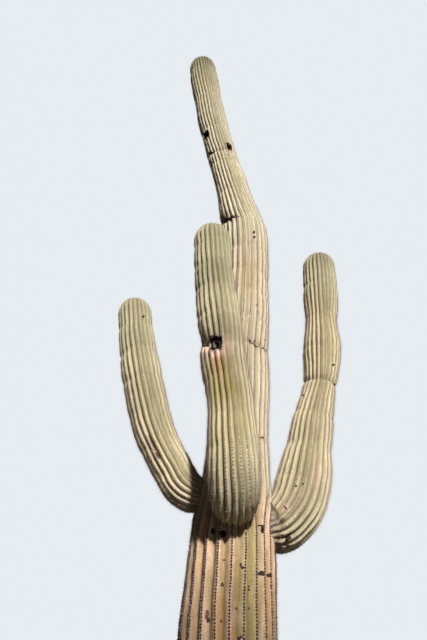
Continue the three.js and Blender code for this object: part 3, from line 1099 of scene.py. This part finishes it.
def hideLayers(tree, look, read, mask, age):
    tone, hollow = read["tone"], read["hollow"]
    old = spread(tree, age, 0.5, 0.65)
    worn = mixColour(tree, spread(tree, age, 0.4, 0.65), *look["crestLine"])
    wornShare = spread(tree, age, 0.3, 0.5, (0, look["lineMost"]))
    deep = sumOf(tree, "POWER", hollow, 3.0)
    return [
        (look["green"], mask["green"], look["greenMost"]),
        # each rib and each year's growth has its own tone
        (look["pink"], spread(tree, tone, 0.1, 0.9), look["rosyMost"]),
        (look["green"], spread(tree, tone, -0.1, -0.9), look["dullMost"]),
        # patches of orange and olive on the oldest skin
        *((tint, blotchMask(tree, *patch), old, most) for tint, patch, most in look["oldPatches"]),
        (addRamp(tree, age, look["crests"]), spread(tree, hollow, 0.34, 0.1, (0, look["ridgeMost"]))),
        # the crest wears to a thin dark line with age
        (worn, spread(tree, hollow, 0.045, 0.012), wornShare),
        (look["moss"], read["moss"], look["mossMost"]),
        (look["warm"], read["warm"], mask["warm"]),
        (look["blush"], read["blush"]),
        # the furrows darker towards their bottoms: partly the skin's own colour, partly painted shade
        (look["furrow"], deep, spread(tree, age, 0.3, 0.43, look["furrowDirtAndShadeShare"])),
        (mixColour(tree, mask["cork"], *look["cork"]), read["cork"]),
    ]


def hideMaterial(look):
    material, tree, shader = startMaterial("cactusHide")
    read = {key: addNode(tree, "ShaderNodeAttribute", attribute_name=key).outputs["Fac"]
            for key in ("age", "hollow", "tone", "shade", "dark", "cork", "blush", "moss", "warm")}
    mask = {key: blotchMask(tree, *patch) for key, patch in look["patches"].items()}
    age = sumOf(tree, "ADD", read["age"], spread(tree, mask["drift"], 0, 1, (-0.05, 0.05)))
    colour = addRamp(tree, age, look["ages"])
    for layer in hideLayers(tree, look, read, mask, age):
        colour = glaze(tree, colour, *layer)
    skin = addNode(tree, "ShaderNodeGroup", look["relief"], node_tree=relief)
    colour = shadeBy(tree, colour, spread(tree, skin.outputs["Pits"], 0.3, 0.7, look["freckles"]))
    streaks = spread(tree, mask["streak"], 0, 1, look["streaks"])
    colour = shadeBy(tree, colour, streaks, spread(tree, read["age"], 0.15, 0.6, (0.4, 1)))
    colour = shadeBy(tree, colour, read["shade"])
    # painted shade inside pits and along cracks
    colour = glaze(tree, colour, look["dark"], read["dark"])
    crumbs = sumOf(tree, "MULTIPLY", read["cork"], mask["crumbs"])
    height = sumOf(tree, "ADD", skin.outputs["Height"], crumbs)
    bump = addNode(tree, "ShaderNodeBump", {**look["bump"], "Height": height})
    setInputs(tree, shader, {
        "Base Color": colour, "Roughness": spread(tree, mask["drift"], 0, 1, look["rough"]),
        "Specular IOR Level": look["shine"], "Normal": bump.outputs["Normal"]})
    return material


# Spines, felt pads and scabs: two tones in soft patches

spineKinds = {  # name: oldest age, dark and light tone of the spines, dark and light tone of the felt
    "Fresh": (0.2, (0.46, 0.36, 0.25), (0.70, 0.58, 0.45), (0.24, 0.17, 0.10), (0.36, 0.28, 0.18)),
    # Young felt: dark red-brown, partly its own colour, partly painted shadow of the spines
    "Young": (0.305, (0.38, 0.25, 0.17), (0.68, 0.53, 0.42), (0.13, 0.065, 0.035), (0.25, 0.145, 0.085)),
    "Stem": (0.395, (0.50, 0.40, 0.28), (0.72, 0.60, 0.46), (0.25, 0.17, 0.11), (0.38, 0.28, 0.19)),
    "Grown": (0.55, (0.34, 0.23, 0.18), (0.68, 0.53, 0.45), (0.14, 0.065, 0.04), (0.27, 0.155, 0.10)),
    "Old": (2.0, (0.20, 0.14, 0.12), (0.62, 0.48, 0.42), (0.012, 0.006, 0.004), (0.045, 0.022, 0.014)),
}
scabTones = {  # kind: dark and light tone
    # peck: near black, painted shade of small holes and creases
    "peckShade": ((0.01, 0.007, 0.005), (0.035, 0.022, 0.016)),
    "scar": ((0.018, 0.012, 0.009), (0.065, 0.046, 0.036)),
    "cork": ((0.05, 0.033, 0.023), (0.13, 0.085, 0.058)),
    "pale": ((0.40, 0.30, 0.24), (0.62, 0.50, 0.42)),
}
dryLook = {"patch": (0.03, 1.0, 0.35, 0.65, 2.0), "rough": (0.55, 0.8), "shine": 0.06, "bump": None}
crustLook = {
    "patch": (0.008, 1.0, 0.35, 0.65),
    "rough": (0.95, 0.7),
    "shine": 0.05,
    "bump": {"Strength": 0.6, "Distance": 0.003},
}


def dryMaterial(name, tones, look):
    material, tree, shader = startMaterial(name)
    mask = blotchMask(tree, *look["patch"])
    setInputs(tree, shader, {
        "Base Color": mixColour(tree, mask, *tones), "Roughness": spread(tree, mask, 0, 1, look["rough"]),
        "Specular IOR Level": look["shine"]})
    if look["bump"]:
        bump = addNode(tree, "ShaderNodeBump", {**look["bump"], "Height": mask})
        setInputs(tree, shader, {"Normal": bump.outputs["Normal"]})
    return material


def addPiece(piece, material):
    piece.data.materials.append(material)
    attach(piece, "root")


# Places inside the trunk have no pads

def outsideTrunk(spots):
    table = trunkLimb["table"]
    near = sectionsAt(trunkLimb, np.interp(spots["place"][:, 2], table["middle"][:, 2], table["length"]))
    clear = np.linalg.norm(spots["place"] - near["middle"], axis=1) > near["radius"]
    return pickSpots(spots, clear)


def addSpines(limb):
    spots = areolePlaces(limb, spineLook)
    if limb is not trunkLimb:
        spots = outsideTrunk(spots)
    young = 0
    for kind, (oldest, *_) in spineKinds.items():
        some = pickSpots(spots, (spots["age"] >= young) & (spots["age"] < oldest))
        young = oldest
        if len(some["age"]):
            spines = makeSpines(limb["name"] + "Spines" + kind, some, spineLook, diceOf(limb, "spines"))
            pads = makePads(limb["name"] + "Felt" + kind, some, spineLook)
            addPiece(spines, spineFinish[kind])
            addPiece(pads, feltFinish[kind])
            print(limb["name"], kind, len(some["age"]), "areoles")


hide = hideMaterial(hideLook)
spineFinish = {kind: dryMaterial("spines" + kind, row[1:3], dryLook) for kind, row in spineKinds.items()}
feltFinish = {kind: dryMaterial("felt" + kind, row[3:5], dryLook) for kind, row in spineKinds.items()}

for number, limb in enumerate(limbs, 1):
    limb["seed"] = 100 * number
    limb["table"] = splineTable(limb)

for limb in limbs:
    skin = makeSkin(limb)
    addPiece(skin, hide)
    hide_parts(*limb["nodes"])
    addSpines(limb)

for kind, tones in scabTones.items():
    crust = dryMaterial(kind + "Crust", tones, crustLook)
    addPiece(makeScabs(kind + "Marks", kind, scabLook), crust)
print("scabs made")


# Floor and light

lightLook = {
    "suns": {  # degrees to the right of the viewer, above level and across; the second is for the far side
        "key": {"turn": 16, "rise": 27, "power": 5.6, "soft": 3, "colour": (1.0, 0.97, 0.915)},
        "behind": {"turn": 183, "rise": 16, "power": 2, "soft": 30, "colour": (0.86, 0.90, 0.96)},
    },
    "sky": (0.86, 0.90, 0.96),
    "skyPower": 0.034,
    "backdrop": (0.80, 0.84, 0.88),
    "floorReach": 150.0,  # radius, metres
    "floorSides": 96,
    "floorPatch": (1.5, 1.0, 0.3, 0.7),
    "floorColour": (0.50, 0.485, 0.46),
    "floorLighter": (0.53, 0.5141, 0.4876),
    "floorRough": 0.9,
    "floorGlow": (0.045, 0.04, 0.033),  # what the floor gives back to the plant
}


def addFloor(look):
    sides = look["floorSides"]
    turn = np.linspace(0, 2 * math.pi, sides, endpoint=False)
    points = np.stack([np.cos(turn), np.sin(turn), 0 * turn], 1) * look["floorReach"]
    floor = newMesh("floor", points, np.arange(sides), np.array([sides]), False)
    material, tree, shader = startMaterial("paleFloor")
    tone = blotchMask(tree, *look["floorPatch"])
    seen = addNode(tree, "ShaderNodeLightPath").outputs["Is Camera Ray"]
    pale = mixColour(tree, tone, look["floorColour"], look["floorLighter"])
    ground = mixColour(tree, seen, look["floorGlow"], pale)
    setInputs(tree, shader, {"Base Color": ground, "Roughness": look["floorRough"]})
    floor.data.materials.append(material)


def addSun(name, turn, rise, power, soft, colour):
    data = bpy.data.lights.new(name, "SUN")
    data.energy = power
    data.angle = math.radians(soft)
    data.color = colour
    addObject(name, data).rotation_euler = (math.radians(90 - rise), 0, math.radians(turn))


def addLights(look):
    for name, sun in look["suns"].items():
        addSun(name, **sun)
    world = bpy.data.worlds.new("softRoom")
    bpy.context.scene.world = world
    world.use_nodes = True
    tree = world.node_tree
    room = tree.nodes["Background"]
    setInputs(tree, room, {"Color": (*look["sky"], 1), "Strength": look["skyPower"]})
    behind = addNode(tree, "ShaderNodeBackground", {"Color": (*look["backdrop"], 1), "Strength": 1.0})
    seen = addNode(tree, "ShaderNodeLightPath").outputs["Is Camera Ray"]
    both = addNode(tree, "ShaderNodeMixShader", {0: seen, 1: room.outputs[0], 2: behind.outputs[0]})
    tree.links.new(both.outputs[0], tree.nodes["World Output"].inputs["Surface"])


addFloor(lightLook)
addLights(lightLook)
print("floor and lights set")
